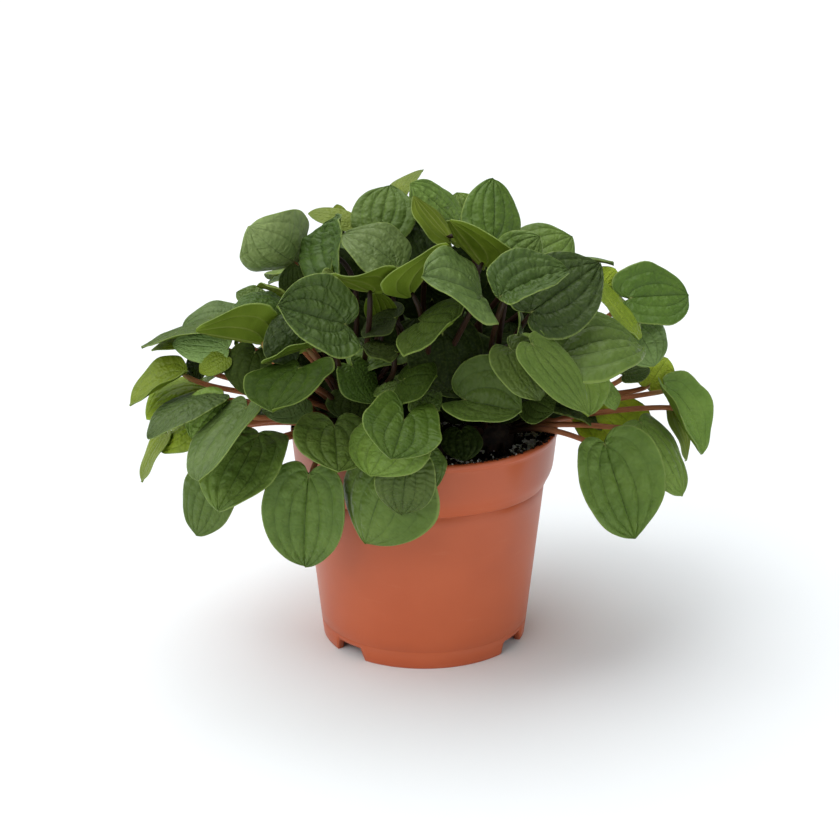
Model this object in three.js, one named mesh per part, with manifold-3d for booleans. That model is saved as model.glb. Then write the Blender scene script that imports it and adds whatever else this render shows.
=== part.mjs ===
// A potted peperomia: a bushy house plant in a plastic nursery pot.
// Millimetres, +Z up, +Y away from the viewer. The origin is the centre of the pot's foot,
// on the surface that the pot stands on.

import * as THREE from 'three';
import { mergeVertices } from 'three/addons/utils/BufferGeometryUtils.js';
import Module from 'manifold-3d';

const wasm = await Module();
wasm.setup();

// ---------------------------------------------------------------- driving dimensions

const FIT_GAP = 0.3;            // left between two solids that touch

const POT_HEIGHT = 99;
const RIM_RADIUS = 60;          // a 12 cm nursery pot
const LIP_HEIGHT = 2.6;         // the narrow lip around the rim
const EDGE_ROUND = 0.6;
const FOOT_RADIUS = 46.6;
const CREASE_RADIUS = 54.9;     // where the collar meets the tapered wall
const CREASE_HEIGHT = 74;
const CREASE_STEP = 0.6;        // the tapered wall is set in by this much under the crease
const COLLAR_SHAPE = [          // radius and height, from just above the crease up to the lip
  [56.5, 77.6],
  [58.0, 81.5],
  [58.7, 86],
  [59.2, 91],
  [59.5, 95],
];
const WALL = 2;                 // thickness of the moulded plastic
const FLOOR_UNDER = 8;          // the floor is raised above the foot ring
const FLOOR_TOP = 10;
const FOOT_RING_WIDTH = 3;
const POT_SEGMENTS = 40;

const NOTCH_HEADINGS = [-136, -31, 44, 149];  // water gaps through the foot ring, in degrees
const NOTCH_ANGLE = 22;
const NOTCH_HEIGHT = 5.5;
const DRAIN_COUNT = 8;
const DRAIN_RADIUS = 3.5;
const DRAIN_RING_RADIUS = 28;

const SOIL_TOP = 92;
const SOIL_HEAP = 1.5;          // the soil is heaped a little towards the middle
const SOIL_FLAT_RADIUS = 30;
const SOIL_SEGMENTS = 40;
const SOIL_SLACK = 0.1;         // more room beside the wall than the fit gap

const CROWN_RADIUS = 13;        // a crown is a short thick stem with a round top, half buried
const CROWN_MIDDLE = 95;        // height of the middle of its round top
const CROWN_BOTTOM = 86;
const CROWN_SEGMENTS = 16;
const CROWN_ROWS = 6;
const CROWNS = {
  left: [-30, -10],
  right: [28, -8],
  back: [0, 28],
  front: [-3, -24],
};

const BLADE_THICKNESS = 1.0;
const BLADE_RINGS = [0.5, 1];   // how far out from the blade's middle each ring of points lies
const BLADE_MIDDLE = 0.3;       // the middle lies this far along the midrib
const PETIOLE_RADIUS = 1.15;
const PETIOLE_SIDES = 5;
const PETIOLE_STEPS = 6;
const PETIOLE_UNDER = 0.08;     // its end lies under the blade, this share of the length in
const PETIOLE_LEAST_RISE = 0.28;      // of its direction where it leaves the crown
const PETIOLE_CURVE = [0.35, 0.22];   // shares of its reach that follow those two directions

// ---------------------------------------------------------------- the sight lines

// The leaves are placed along the sight lines of a viewer in front of the plant. A leaf's
// base and tip are given as a point in an 840 x 840 view and a depth, the world Y there.
const VIEW_CENTRE = 420;
const VIEW_FOCAL = 1800;
const VIEW_PITCH = 0.3069;
const VIEW_POINT = new THREE.Vector3(-1.9, -771, 345);

function at(u, v, depth) {
  const right = (u - VIEW_CENTRE) / VIEW_FOCAL;
  const up = (VIEW_CENTRE - v) / VIEW_FOCAL;
  const ray = new THREE.Vector3(
    right,
    Math.cos(VIEW_PITCH) + up * Math.sin(VIEW_PITCH),
    -Math.sin(VIEW_PITCH) + up * Math.cos(VIEW_PITCH),
  );
  return ray.multiplyScalar((depth - VIEW_POINT.y) / ray.y).add(VIEW_POINT);
}

// ---------------------------------------------------------------- the leaves

// base, tip: points in the view. depth: world Y at the base and at the tip. width: across
// the blade. face: which way the upper side looks. arch: how high the midrib bows over its
// chord. cup: how far the margins rise over the midrib. fold: slope of a fold along the
// midrib. lobe: length of the two lobes behind the base, in widths of the blade. wide: where
// the blade is widest, in lengths from its base. lift: how much a petiole first turns upwards.
// arrival: its direction at the blade, along the midrib and out through the upper side.
const LEAF_DEFAULTS = {
  arch: 0.1, cup: -0.12, fold: 0, lobe: 0.15, wide: 0.36, lift: 0.35, arrival: [0.3, 0.9],
};

const LEAVES = [
  // along the top
  { name: 'leaf_top_1', crown: 'left', base: [296, 262], tip: [249, 227], depth: [-10, -27],
    width: 34.5, face: [-0.37, -0.83, 0.41],
    arch: 0.19, cup: -0.43, fold: -0.41, lobe: 0.04, wide: 0.29 },
  { name: 'leaf_top_2', crown: 'left', base: [334, 259], tip: [337, 216], depth: [-29, -19],
    width: 42, face: [-0.88, -0.45, 0.17], arch: 0.03, cup: -0.02, fold: 0.34, lobe: 0.36, wide: 0.33 },
  { name: 'leaf_top_3', crown: 'left', base: [398, 268], tip: [342, 235], depth: [-52, -47],
    width: 31.5, face: [-0.09, -0.38, 0.92],
    arch: 0.12, cup: -0.01, fold: 0.1, lobe: 0.06, wide: 0.33, lift: 0.4 },
  { name: 'leaf_top_4', crown: 'front', base: [380, 233], tip: [390, 185], depth: [-30, -14],
    width: 28, face: [-0.17, -0.89, 0.42],
    arch: 0.09, cup: -0.13, fold: 0.04, lobe: 0.13, wide: 0.34 },
  { name: 'leaf_top_5', crown: 'back', base: [399, 196], tip: [422, 170], depth: [6, 19],
    width: 18, face: [-0.56, -0.18, 0.81], arch: 0.11, cup: 0.1, fold: 0.01, lobe: 0.1 },
  { name: 'leaf_top_6', crown: 'back', base: [455, 223], tip: [410, 183], depth: [-6, -6],
    width: 29.5, face: [0.4, -0.58, 0.71], arch: 0.05, cup: -0.22, fold: -0.05, wide: 0.37 },
  { name: 'leaf_top_7', crown: 'right', base: [449, 242], tip: [412, 197], depth: [-40, -31],
    width: 25, face: [-0.66, 0.38, 0.65], arch: 0, cup: 0.18, fold: -0.14, wide: 0.38 },
  { name: 'leaf_top_8', crown: 'front', base: [486, 265], tip: [451, 219], depth: [-59, -67],
    width: 42.5, face: [0.6, 0.43, 0.67],
    arch: 0.01, cup: 0.18, fold: 0.06, lobe: 0.09, wide: 0.18 },
  { name: 'leaf_top_9', crown: 'back', base: [493, 240], tip: [493, 178], depth: [-34, -17],
    width: 27, face: [0.33, -0.91, 0.24],
    arch: 0.06, cup: -0.23, fold: -0.05, wide: 0.35, lift: 0.42 },
  { name: 'leaf_top_10', crown: 'back', base: [522, 262], tip: [572, 236], depth: [-26, -14],
    width: 30, face: [0.2, -0.61, 0.77], arch: 0.09, cup: -0.14, fold: -0.01, lift: 0.24 },
  // the middle of the bush
  { name: 'leaf_middle_1', crown: 'left', base: [373, 290], tip: [336, 274], depth: [-61, -73],
    width: 41.5, face: [-0.07, 0.19, 0.98],
    arch: 0, cup: 0.45, fold: -0.14, lobe: 0.04, wide: 0.38, lift: 0.25 },
  { name: 'leaf_middle_2', crown: 'front', base: [408, 296], tip: [447, 243], depth: [-65, -71],
    width: 34, face: [-0.49, 0.31, 0.82],
    arch: 0, cup: 0.11, fold: 0.28, lobe: 0.04, wide: 0.14, lift: 0.5 },
  { name: 'leaf_middle_3', crown: 'left', base: [346, 325], tip: [277, 306], depth: [-84, -100],
    width: 36, face: [-0.27, -0.74, 0.62],
    arch: 0, cup: -0.04, fold: 0.26, lobe: 0.14, wide: 0.31, lift: 0.1 },
  { name: 'leaf_middle_4', crown: 'front', base: [421, 322], tip: [452, 322], depth: [-74, -88],
    width: 37.5, face: [-0.12, -0.51, 0.85],
    arch: 0, cup: -0.08, fold: -0.05, lobe: 0.17, lift: 0.1 },
  { name: 'leaf_middle_5', crown: 'front', base: [482, 298], tip: [422, 276], depth: [-80, -95],
    width: 43, face: [0.09, -0.48, 0.87],
    arch: 0.06, cup: -0.18, fold: 0.27, lobe: 0.04, wide: 0.28 },
  { name: 'leaf_middle_6', crown: 'right', base: [461, 431], tip: [464, 461], depth: [-46, -55],
    width: 18, face: [0.07, -0.79, 0.6],
    arch: 0.07, cup: -0.17, fold: -0.05, lobe: 0.17, wide: 0.37, lift: 0.2 },
  { name: 'leaf_middle_7', crown: 'right', base: [464, 400], tip: [522, 411], depth: [-72, -79],
    width: 35, face: [0.09, -0.62, 0.78], arch: 0, cup: 0.17, fold: 0.46, lobe: 0.2 },
  // the right side
  { name: 'leaf_right_1', crown: 'right', base: [499, 298], tip: [569, 271], depth: [-91, -80],
    width: 26.5, face: [0.03, -0.45, 0.89],
    arch: 0.07, cup: -0.01, fold: 0.54, lobe: 0.04, wide: 0.35, lift: 1 },
  { name: 'leaf_right_2', crown: 'right', base: [530, 313], tip: [600, 263], depth: [-74, -52],
    width: 36, face: [0.26, -0.75, 0.61], arch: 0, cup: -0.04, fold: 0.1, lobe: 0.13, wide: 0.31 },
  { name: 'leaf_right_3', crown: 'right', base: [630, 298], tip: [689, 295], depth: [-12, 2],
    width: 32, face: [0.15, -0.73, 0.67],
    arch: 0.03, cup: 0.01, fold: 0.13, lobe: 0.23, wide: 0.38 },
  { name: 'leaf_right_4', crown: 'right', base: [632, 325], tip: [655, 366], depth: [-14, -22],
    width: 32.5, face: [0.56, -0.76, 0.31], arch: 0.09, cup: -0.16, fold: -0.02, lift: 0.05 },
  { name: 'leaf_right_5', crown: 'right', base: [558, 358], tip: [642, 348], depth: [-70, -52],
    width: 43, face: [0.01, -0.43, 0.9],
    arch: 0.16, cup: -0.41, fold: 0.38, lobe: 0.12, wide: 0.31, lift: 1.15, arrival: [0.9, -0.4] },
  { name: 'leaf_right_6', crown: 'back', base: [547, 345], tip: [589, 416], depth: [-28, -54],
    width: 43.5, face: [0.65, -0.68, 0.34],
    arch: 0.03, cup: -0.04, fold: 0.12, lobe: 0.17, wide: 0.46 },
  { name: 'leaf_right_7', crown: 'right', base: [604, 443], tip: [635, 539], depth: [-34, -43],
    width: 41.5, face: [0.42, -0.89, 0.19],
    arch: 0, cup: 0.28, fold: 0.08, lobe: 0.12, wide: 0.39 },
  { name: 'leaf_right_8', crown: 'right', base: [640, 422], tip: [683, 496], depth: [-16, -30],
    width: 31.5, face: [0.66, -0.67, 0.34],
    arch: 0.06, cup: -0.19, fold: -0.07, lobe: 0.09, lift: 0.2 },
  { name: 'leaf_right_9', crown: 'right', base: [664, 385], tip: [703, 454], depth: [-4, -17],
    width: 33, face: [0.77, -0.47, 0.42],
    arch: 0, cup: 0.32, fold: 0.21, lobe: 0.12, wide: 0.35, lift: 0.15 },
  { name: 'leaf_right_10', crown: 'right', base: [600, 412], tip: [643, 452], depth: [2, -9],
    width: 38, face: [0.33, -0.7, 0.63],
    arch: 0.01, cup: 0.04, lobe: 0.24, wide: 0.39, lift: 0.02 },
  // the front, hanging over the rim
  { name: 'leaf_front_1', crown: 'front', base: [404, 420], tip: [392, 459], depth: [-91, -103],
    width: 32.5, face: [0.11, -0.86, 0.5], arch: 0.09, cup: 0.2, fold: 0.07, lobe: 0.45 },
  { name: 'leaf_front_2', crown: 'left', base: [393, 432], tip: [370, 476], depth: [-77, -88],
    width: 41, face: [-0.46, -0.65, 0.6],
    arch: 0, cup: -0.04, fold: -0.09, lobe: 0.27, wide: 0.29 },
  { name: 'leaf_front_3', crown: 'front', base: [408, 460], tip: [402, 515], depth: [-82, -80],
    width: 25, face: [-0.09, -0.97, 0.23], arch: 0.15, cup: -0.11, fold: 0.03, wide: 0.39 },
  { name: 'leaf_front_4', crown: 'front', base: [392, 470], tip: [366, 544], depth: [-72, -71],
    width: 47, face: [-0.46, -0.82, 0.34], arch: 0.09, cup: -0.31, fold: -0.09, lobe: 0.14 },
  { name: 'leaf_front_5', crown: 'left', base: [334, 426], tip: [338, 472], depth: [-60, -77],
    width: 37, face: [0.29, -0.83, 0.48], arch: 0.02, cup: 0.1, lobe: 0.19, wide: 0.34 },
  { name: 'leaf_front_6', crown: 'left', base: [309, 474], tip: [305, 567], depth: [-56, -52],
    width: 36, face: [-0.15, -0.98, 0.09],
    cup: 0.07, fold: 0.22, lobe: 0.13, wide: 0.33, lift: 0.9 },
  // the left side
  { name: 'leaf_left_1', crown: 'left', base: [300, 368], tip: [272, 411], depth: [-66, -90],
    width: 40.5, face: [-0.41, -0.53, 0.75], arch: 0.03, cup: 0.14, fold: -0.01, lobe: 0.16 },
  { name: 'leaf_left_2', crown: 'left', base: [269, 342], tip: [196, 330], depth: [-46, -51],
    width: 39, face: [0.19, 0.64, 0.75], arch: 0, cup: 0.14, fold: 0.26, lobe: 0.04, wide: 0.14 },
  { name: 'leaf_left_3', crown: 'left', base: [232, 322], tip: [141, 347], depth: [-22, -4],
    width: 26, face: [0, -0.1, 0.99], arch: 0.04, cup: 0.07, fold: -0.01, wide: 0.35 },
  { name: 'leaf_left_4', crown: 'left', base: [186, 370], tip: [129, 405], depth: [-20, -25],
    width: 28.5, face: [-0.69, -0.23, 0.68],
    arch: 0.03, cup: 0.21, fold: 0.15, lobe: 0.04, wide: 0.33, lift: 0.3 },
  { name: 'leaf_left_5', crown: 'left', base: [213, 393], tip: [147, 438], depth: [-32, -50],
    width: 27.5, face: [-0.7, -0.46, 0.55], cup: -0.05, fold: -0.07, wide: 0.46, lift: 0.4 },
  { name: 'leaf_left_6', crown: 'left', base: [247, 407], tip: [199, 482], depth: [-48, -84],
    width: 38.5, face: [-0.71, -0.62, 0.35],
    arch: 0, cup: -0.1, fold: 0.29, lobe: 0.18, wide: 0.4, lift: 0.5 },
  { name: 'leaf_left_7', crown: 'left', base: [259, 434], tip: [218, 511], depth: [-40, -66],
    width: 41, face: [-0.54, -0.81, 0.23], arch: 0, cup: 0.07, lobe: 0.07, wide: 0.4, lift: 0.2 },
  { name: 'leaf_left_8', crown: 'left', base: [213, 476], tip: [196, 536], depth: [-34, -31],
    width: 27, face: [-0.4, -0.88, 0.24],
    arch: 0.05, cup: -0.15, fold: -0.03, wide: 0.33, lift: 0.5 },
];

// The far side of the bush, in rings around the pot's axis.
const BACK_RINGS = [
  { count: 6, from: 12, to: 170, radius: 79, height: 128, length: 36, width: 34, slope: -0.75 },
  { count: 4, from: 22, to: 138, radius: 66, height: 162, length: 34, width: 32, slope: -0.35 },
  { count: 3, from: 45, to: 140, radius: 38, height: 174, length: 32, width: 28, slope: 0 },
];

const UP = new THREE.Vector3(0, 0, 1);

function placedLeaf(row) {
  return {
    ...LEAF_DEFAULTS,
    ...row,
    base: at(row.base[0], row.base[1], row.depth[0]),
    tip: at(row.tip[0], row.tip[1], row.depth[1]),
    face: new THREE.Vector3(...row.face),
  };
}

function backLeaves() {
  const leaves = [];
  for (const ring of BACK_RINGS) {
    for (let i = 0; i < ring.count; i += 1) {
      const heading = THREE.MathUtils.degToRad(
        ring.from + (ring.to - ring.from) * (i / (ring.count - 1)),
      );
      const out = new THREE.Vector3(Math.cos(heading), Math.sin(heading), 0);
      const base = out.clone().multiplyScalar(ring.radius).addScaledVector(UP, ring.height);
      const along = out.clone().addScaledVector(UP, ring.slope).normalize();
      leaves.push({
        ...LEAF_DEFAULTS,
        name: `leaf_back_${leaves.length + 1}`,
        crown: 'back',
        base,
        tip: base.clone().addScaledVector(along, ring.length),
        width: ring.width,
        face: out.clone().multiplyScalar(0.5).add(UP),
      });
    }
  }
  return leaves;
}

// A heart-shaped outline that starts at the tip. One half of it is given from near the tip
// to the end of a lobe. Longer lobes stand further apart.
function bladeOutline(length, leaf) {
  const halfWidth = leaf.width / 2;
  const widest = leaf.wide * length;
  const rest = length - widest;
  const lobeMiddle = 0.3 + 0.5 * leaf.lobe;
  const half = [
    [0.4 * halfWidth, widest + 0.83 * rest],
    [0.8 * halfWidth, widest + 0.51 * rest],
    [halfWidth, widest],
    [(0.8 + 0.2 * lobeMiddle) * halfWidth, 0.12 * widest],
    [lobeMiddle * halfWidth, -leaf.lobe * leaf.width],
  ];
  const mirrored = half.map(([x, y]) => [-x, y]).reverse();
  return [[0, length], ...half, [0, 0], ...mirrored];
}

// ---------------------------------------------------------------- solids

function toSolid(geometry) {
  geometry.deleteAttribute('normal');
  geometry.deleteAttribute('uv');
  const merged = mergeVertices(geometry, 1e-4);
  return new wasm.Manifold(new wasm.Mesh({
    numProp: 3,
    vertProperties: new Float32Array(merged.attributes.position.array),
    triVerts: new Uint32Array(merged.index.array),
  }));
}

function toGeometry(solid) {
  const mesh = solid.getMesh();
  const geometry = new THREE.BufferGeometry();
  geometry.setAttribute('position', new THREE.BufferAttribute(mesh.vertProperties, 3));
  geometry.setIndex(new THREE.BufferAttribute(mesh.triVerts, 1));
  geometry.computeVertexNormals();
  return geometry;
}

function lathe(profile, segments) {
  const points = profile.map(([radius, height]) => new THREE.Vector2(radius, height));
  const geometry = new THREE.LatheGeometry(points, segments);
  geometry.rotateX(Math.PI / 2);
  return geometry;
}

// ---------------------------------------------------------------- pot and soil

const WALL_UNDER_CREASE = CREASE_RADIUS - CREASE_STEP;

// The tapered wall's outer radius at a height.
function taperRadius(height) {
  return FOOT_RADIUS + (WALL_UNDER_CREASE - FOOT_RADIUS) * height / CREASE_HEIGHT;
}

function potSolid() {
  const ringInside = FOOT_RADIUS - FOOT_RING_WIDTH;
  const profile = [
    [ringInside, FLOOR_UNDER],
    [ringInside, 0],
    [FOOT_RADIUS, 0],
    [WALL_UNDER_CREASE, CREASE_HEIGHT - CREASE_STEP],
    [CREASE_RADIUS, CREASE_HEIGHT],
    ...COLLAR_SHAPE,
    [RIM_RADIUS, POT_HEIGHT - LIP_HEIGHT],
    [RIM_RADIUS, POT_HEIGHT - EDGE_ROUND],
    [RIM_RADIUS - EDGE_ROUND, POT_HEIGHT],
    [RIM_RADIUS - WALL, POT_HEIGHT],
    ...COLLAR_SHAPE.map(([radius, height]) => [radius - WALL, height]).reverse(),
    [WALL_UNDER_CREASE - WALL, CREASE_HEIGHT - 1],
    [taperRadius(FLOOR_TOP) - WALL, FLOOR_TOP],
    [0, FLOOR_TOP],
    [0, FLOOR_UNDER],
    [ringInside, FLOOR_UNDER],
  ];
  let pot = toSolid(lathe(profile, POT_SEGMENTS));

  const reach = FOOT_RADIUS + 10;
  const halfGap = Math.tan(THREE.MathUtils.degToRad(NOTCH_ANGLE / 2)) * reach;
  const wedge = new THREE.Shape([
    new THREE.Vector2(0, 0),
    new THREE.Vector2(reach, -halfGap),
    new THREE.Vector2(reach, halfGap),
  ]);
  for (const heading of NOTCH_HEADINGS) {
    const cutter = new THREE.ExtrudeGeometry(wedge, { depth: NOTCH_HEIGHT + 1, bevelEnabled: false });
    cutter.translate(0, 0, -1);
    cutter.rotateZ(THREE.MathUtils.degToRad(heading));
    pot = pot.subtract(toSolid(cutter));
  }
  for (let i = 0; i < DRAIN_COUNT; i += 1) {
    const turn = (i + 0.5) * 2 * Math.PI / DRAIN_COUNT;
    const hole = new THREE.CylinderGeometry(DRAIN_RADIUS, DRAIN_RADIUS, 3 * WALL, 10);
    hole.rotateX(Math.PI / 2);
    hole.translate(
      DRAIN_RING_RADIUS * Math.cos(turn),
      DRAIN_RING_RADIUS * Math.sin(turn),
      (FLOOR_UNDER + FLOOR_TOP) / 2,
    );
    pot = pot.subtract(toSolid(hole));
  }
  return pot;
}

function crownProfile(grow) {
  const radius = CROWN_RADIUS + grow;
  const lowest = -Math.PI / 6;
  const profile = [
    [0, CROWN_BOTTOM - grow],
    [0.75 * radius, CROWN_BOTTOM - grow],
  ];
  for (let i = 0; i <= CROWN_ROWS; i += 1) {
    const turn = lowest + (Math.PI / 2 - lowest) * i / CROWN_ROWS;
    const across = i === CROWN_ROWS ? 0 : radius * Math.cos(turn);
    profile.push([across, CROWN_MIDDLE + radius * Math.sin(turn)]);
  }
  return profile;
}

function crownGeometry(place, grow) {
  const geometry = lathe(crownProfile(grow), CROWN_SEGMENTS);
  geometry.translate(place[0], place[1], 0);
  return geometry;
}

function soilSolid() {
  const gap = WALL + FIT_GAP + SOIL_SLACK;
  const besideCollar = COLLAR_SHAPE.filter(([, height]) => height < SOIL_TOP - EDGE_ROUND);
  const edge = besideCollar[besideCollar.length - 1][0] - gap - EDGE_ROUND;
  const profile = [
    [0, FLOOR_TOP + FIT_GAP],
    [taperRadius(FLOOR_TOP) - gap, FLOOR_TOP + FIT_GAP],
    [WALL_UNDER_CREASE - gap, CREASE_HEIGHT - 1],
    ...besideCollar.map(([radius, height]) => [radius - gap, height]),
    [edge, SOIL_TOP - EDGE_ROUND / 2],
    [SOIL_FLAT_RADIUS, SOIL_TOP],
    [0, SOIL_TOP + SOIL_HEAP],
  ];
  let soil = toSolid(lathe(profile, SOIL_SEGMENTS));
  for (const place of Object.values(CROWNS)) {
    soil = soil.subtract(toSolid(crownGeometry(place, FIT_GAP)));
  }
  return soil;
}

// ---------------------------------------------------------------- a leaf

function bladeSolid(leaf, frame) {
  const { length, along, across, normal } = frame;
  const outline = bladeOutline(length, leaf);
  const middle = BLADE_MIDDLE * length;
  const count = outline.length;

  function height(x, y) {
    const run = y / length;
    const side = Math.abs(x) / (leaf.width / 2);
    return leaf.arch * length * 4 * run * (1 - run)
      + leaf.cup * side * side * leaf.width / 2
      + leaf.fold * Math.abs(x);
  }

  function place(x, y, down) {
    return leaf.base.clone()
      .addScaledVector(across, x)
      .addScaledVector(along, y)
      .addScaledVector(normal, height(x, y) - down);
  }

  const points = [];
  for (const down of [0, BLADE_THICKNESS]) {
    points.push(place(0, middle, down));
    for (const ring of BLADE_RINGS) {
      for (const [x, y] of outline) {
        points.push(place(x * ring, middle + (y - middle) * ring, down));
      }
    }
  }
  const side = 1 + BLADE_RINGS.length * count;
  const index = [];
  for (let i = 0; i < count; i += 1) {
    const next = (i + 1) % count;
    for (const lower of [false, true]) {
      const start = lower ? side : 0;
      const faces = [[start, start + 1 + next, start + 1 + i]];
      for (let ring = 1; ring < BLADE_RINGS.length; ring += 1) {
        const inside = start + 1 + (ring - 1) * count;
        const outside = inside + count;
        faces.push([inside + i, inside + next, outside + next]);
        faces.push([inside + i, outside + next, outside + i]);
      }
      for (const [a, b, c] of faces) {
        index.push(...(lower ? [a, c, b] : [a, b, c]));
      }
    }
    const top = 1 + (BLADE_RINGS.length - 1) * count;
    const bottom = side + top;
    index.push(top + i, top + next, bottom + next);
    index.push(top + i, bottom + next, bottom + i);
  }
  const geometry = new THREE.BufferGeometry();
  geometry.setAttribute('position', new THREE.BufferAttribute(
    new Float32Array(points.flatMap((p) => [p.x, p.y, p.z])), 3));
  geometry.setIndex(index);
  return toSolid(geometry);
}

function petioleSolid(leaf, frame) {
  const { length, along, normal } = frame;
  const [crownX, crownY] = CROWNS[leaf.crown];
  const heart = new THREE.Vector3(crownX, crownY, CROWN_MIDDLE);
  const rise = 4 * leaf.arch * PETIOLE_UNDER * (1 - PETIOLE_UNDER) * length;
  const end = leaf.base.clone()
    .addScaledVector(along, PETIOLE_UNDER * length)
    .addScaledVector(normal, rise - BLADE_THICKNESS / 2);
  const out = end.clone().sub(heart);
  const reach = out.length();
  out.normalize().addScaledVector(UP, leaf.lift).normalize();
  out.z = Math.max(out.z, PETIOLE_LEAST_RISE);
  out.normalize();
  const start = heart.clone().addScaledVector(out, CROWN_RADIUS + FIT_GAP);
  const arrival = along.clone().multiplyScalar(leaf.arrival[0])
    .addScaledVector(normal, leaf.arrival[1])
    .normalize();
  const path = new THREE.CubicBezierCurve3(
    start,
    start.clone().addScaledVector(out, PETIOLE_CURVE[0] * reach),
    end.clone().addScaledVector(arrival, -PETIOLE_CURVE[1] * reach),
    end,
  );
  const ring = new THREE.Shape();
  for (let i = 0; i < PETIOLE_SIDES; i += 1) {
    const turn = 2 * Math.PI * i / PETIOLE_SIDES;
    const x = PETIOLE_RADIUS * Math.cos(turn);
    const y = PETIOLE_RADIUS * Math.sin(turn);
    if (i === 0) {
      ring.moveTo(x, y);
    } else {
      ring.lineTo(x, y);
    }
  }
  ring.closePath();
  const tube = new THREE.ExtrudeGeometry(ring, { steps: PETIOLE_STEPS, extrudePath: path });
  return toSolid(tube);
}

function leafSolid(leaf) {
  const along = leaf.tip.clone().sub(leaf.base);
  const length = along.length();
  along.normalize();
  const normal = leaf.face.clone().addScaledVector(along, -leaf.face.dot(along)).normalize();
  const across = new THREE.Vector3().crossVectors(along, normal);
  const frame = { length, along, across, normal };
  return bladeSolid(leaf, frame).add(petioleSolid(leaf, frame));
}

// ---------------------------------------------------------------- the plant

const plasticFinish = { color: 0xb2603f, roughness: 0.55, metalness: 0 };
const soilFinish = { color: 0x2b241f, roughness: 0.95, metalness: 0 };
const crownFinish = { color: 0x6e4a34, roughness: 0.7, metalness: 0 };
const leafFinish = { color: 0x4f7f3a, roughness: 0.5, metalness: 0 };

const plant = new THREE.Group();

function addPiece(name, geometry, finish) {
  const piece = new THREE.Mesh(geometry, new THREE.MeshStandardMaterial(finish));
  piece.name = name;
  plant.add(piece);
}

addPiece('pot', toGeometry(potSolid()), plasticFinish);
addPiece('potting_soil', toGeometry(soilSolid()), soilFinish);
for (const [side, place] of Object.entries(CROWNS)) {
  addPiece(`crown_${side}`, toGeometry(toSolid(crownGeometry(place, 0))), crownFinish);
}
for (const leaf of [...LEAVES.map(placedLeaf), ...backLeaves()]) {
  addPiece(leaf.name, toGeometry(leafSolid(leaf)), leafFinish);
}

export default plant;
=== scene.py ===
"""A potted peperomia: fine leaves on petioles, crowns, soil with perlite and a plastic nursery pot.

Metres, +Z up, +Y away from the viewer. The origin is the centre of the pot's foot.
"""
import itertools
import math
import random

import bpy
import numpy as np
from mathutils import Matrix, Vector, noise


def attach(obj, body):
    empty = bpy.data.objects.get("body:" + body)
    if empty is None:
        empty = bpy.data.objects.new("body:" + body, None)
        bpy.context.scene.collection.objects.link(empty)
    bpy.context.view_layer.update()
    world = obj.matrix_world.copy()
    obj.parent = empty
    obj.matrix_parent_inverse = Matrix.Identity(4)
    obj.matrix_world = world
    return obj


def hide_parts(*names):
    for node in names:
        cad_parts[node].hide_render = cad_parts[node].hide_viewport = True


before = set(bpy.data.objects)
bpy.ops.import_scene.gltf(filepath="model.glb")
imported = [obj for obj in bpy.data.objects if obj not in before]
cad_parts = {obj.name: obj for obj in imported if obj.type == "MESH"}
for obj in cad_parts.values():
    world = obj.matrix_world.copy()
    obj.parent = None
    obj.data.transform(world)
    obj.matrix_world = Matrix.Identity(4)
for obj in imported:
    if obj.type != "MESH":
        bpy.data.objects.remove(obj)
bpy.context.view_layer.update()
ROOT = "root"
UP = Vector((0, 0, 1))

# ------------ driving dimensions

POT_HEIGHT = 0.099
RIM_RADIUS = 0.060
FOOT_RADIUS = 0.0466
CREASE_RADIUS = 0.0549
CREASE_HEIGHT = 0.074
FLOOR_UNDER = 0.008
FLOOR_TOP = 0.010
FOOT_RING_WIDTH = 0.003
FOOT_INSIDE = FOOT_RADIUS - FOOT_RING_WIDTH
FOOT_RING_TOP = 0.0072
WALL = 0.0018
POT_COLUMNS = 240
LONGEST_RUN = 0.0048            # of the pot's outline without a point

NOTCH_HEADINGS = [math.radians(a) for a in (-136, -31, 44, 149)]
NOTCH_HALF_ANGLE = math.radians(11)
NOTCH_END = math.radians(2)
NOTCH_HEIGHT = 0.0055
DRAIN_COUNT = 8
DRAIN_RADIUS = 0.0035
DRAIN_RING_RADIUS = 0.028
DRAIN_SIDES = 20
CUTTER_OVER = 0.003             # how far the cutter stands out of the floor

SOIL_TOP = 0.092
SOIL_RADIUS = 0.0562
SOIL_RINGS, SOIL_COLUMNS = 56, 150
SOIL_EDGE_DROP = 0.0006
SOIL_NOISES = [(90, 0.0012), (260, 0.0007)]    # how fine and how high
HEAP_HEIGHT, HEAP_RADIUS = 0.0016, 0.045
GRAINS_RADIUS = 0.0555          # within which the grains lie on the soil
GRAIN_STRETCH = (0.45, 1.45)    # along each axis
GRAIN_SHAKE = (0.75, 1.2)       # of each corner

CROWN_RADIUS = 0.013
CROWN_MIDDLE = 0.095
CROWN_ROWS, CROWN_COLUMNS = 22, 40
CROWNS = {
    "left": (-0.030, -0.010),
    "right": (0.028, -0.008),
    "back": (0.0, 0.028),
    "front": (-0.003, -0.024),
}

PETIOLE_RADIUS = 0.00115
PETIOLE_GAP = 0.0003            # between it and the crown
PETIOLE_UNDER = 0.08            # its end lies under the blade, this share of the length in
PETIOLE_LEAST_RISE = 0.28       # of its direction where it leaves the crown
PETIOLE_CURVE = (0.35, 0.22)    # shares of its reach that follow those two directions
PETIOLE_SIDES = 10
PETIOLE_ROWS = 26
PETIOLE_NECK = 0.94             # share of its length from which it thins towards the blade

BLADE_THICKNESS = 0.0009
BLADE_ROWS = 44
MARGIN_THINNING = 0.62          # share of the thickness that is gone at the margin
MARGIN_WAVE = 0.02              # height of the waves along the margin, in widths
VEIN_DEPTH = 0.0003
VEIN_RIDGE = 0.00025            # how far a vein stands out of the under side
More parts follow.
